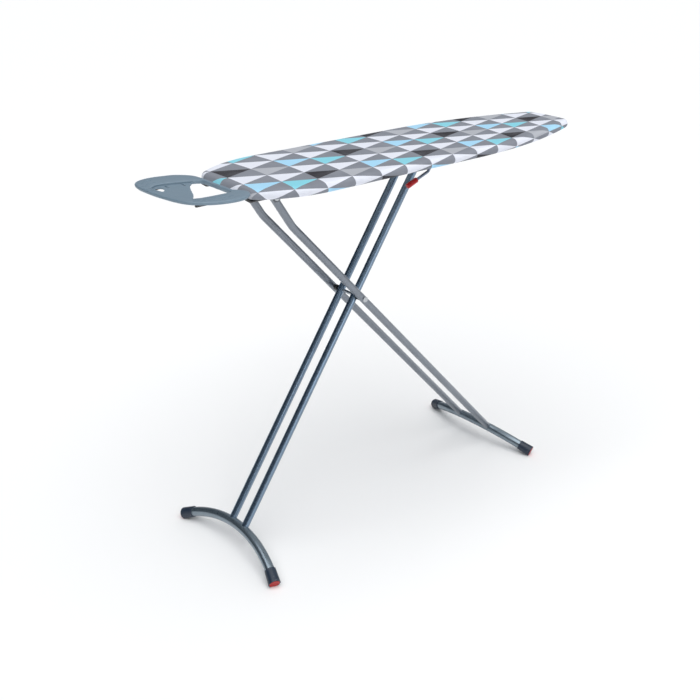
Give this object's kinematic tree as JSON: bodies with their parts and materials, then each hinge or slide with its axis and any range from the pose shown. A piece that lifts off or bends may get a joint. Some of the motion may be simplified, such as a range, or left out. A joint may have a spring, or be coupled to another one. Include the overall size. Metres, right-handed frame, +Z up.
{
  "type": "ironing board",
  "caption": "Standing ironing board with a padded patterned top, crossed tubular legs, a release lever and a plastic iron rest.",
  "frame": {"origin": "on the floor, under the middle of the whole length", "axes": "+X along the board towards its nose, +Y across it away from the user's side, +Z up"},
  "size_m": [1.2417, 0.3966, 0.915],
  "materials": {
    "cover_cloth": "printed cotton",
    "felt": "needled felt",
    "deck_steel": "powder coated",
    "bracket_steel": "powder coated",
    "rest_plastic": "satin",
    "black_wire": "gloss",
    "outer_tube": "metallic",
    "inner_tube": "gloss metallic",
    "foot_tube": "metallic",
    "cap_plastic": "satin",
    "red_plastic": "gloss",
    "black_plastic": "satin",
    "pin_steel": "zinc plated",
    "lever_paint": "metallic"
  },
  "bodies": {
    "board": {"cover": "cover_cloth", "felt_pad": "felt", "mesh_deck": "deck_steel", "rim_frame": "deck_steel", "tail_brace": "bracket_steel", "lever_brace": "bracket_steel", "rack_brace": "bracket_steel", "nose_brace": "bracket_steel", "hinge_bracket_near": "bracket_steel", "hinge_bracket_far": "bracket_steel", "hinge_rod": "pin_steel", "hinge_push_nuts": "pin_steel", "rack_plate_near": "bracket_steel", "rack_plate_far": "bracket_steel", "rack_guide_near": "bracket_steel", "rack_guide_far": "bracket_steel", "lever_hanger": "bracket_steel", "lever_spring": "pin_steel", "iron_rest": "rest_plastic", "rest_wire_near": "black_wire", "rest_wire_far": "black_wire"},
    "outer_leg": {"outer_tube_near": "outer_tube", "outer_tube_far": "outer_tube", "outer_top_sleeve": "outer_tube", "outer_foot": "foot_tube", "outer_cap_near": "cap_plastic", "outer_cap_far": "cap_plastic", "outer_disc_near": "red_plastic", "outer_disc_far": "red_plastic", "cross_rivet": "pin_steel", "rivet_heads": "pin_steel", "cross_spacers": "black_plastic"},
    "inner_leg": {"inner_tube_near": "inner_tube", "inner_tube_far": "inner_tube", "inner_foot": "foot_tube", "rack_bar": "pin_steel", "rack_bar_caps": "black_plastic", "inner_cap_near": "cap_plastic", "inner_cap_far": "cap_plastic", "inner_disc_near": "red_plastic", "inner_disc_far": "red_plastic"},
    "lever": {"lever_rod": "lever_paint", "lever_grip": "red_plastic", "lever_catches": "lever_paint"}
  },
  "joints": [
    {"name": "outer_leg_fold", "type": "hinge", "parent": "board", "child": "outer_leg", "pos_m": [-0.376, 0, 0.881], "axis": [0, -1, 0], "range_deg": [0, 44]},
    {"name": "inner_leg_scissor", "type": "hinge", "parent": "outer_leg", "child": "inner_leg", "pos_m": [-0.1151, 0, 0.5775], "axis": [0, 1, 0], "range_deg": [0, 94.83]},
    {"name": "lever_squeeze", "type": "hinge", "parent": "board", "child": "lever", "pos_m": [0.066, 0, 0.881], "axis": [0, 1, 0], "range_deg": [0, 14], "stiffness_Nm_per_rad": 0.6, "springref_deg": -28.65}
  ],
  "couplings": [
    {"joint": "inner_leg_scissor", "follows": "outer_leg_fold", "ratio": 2.155}
  ]
}
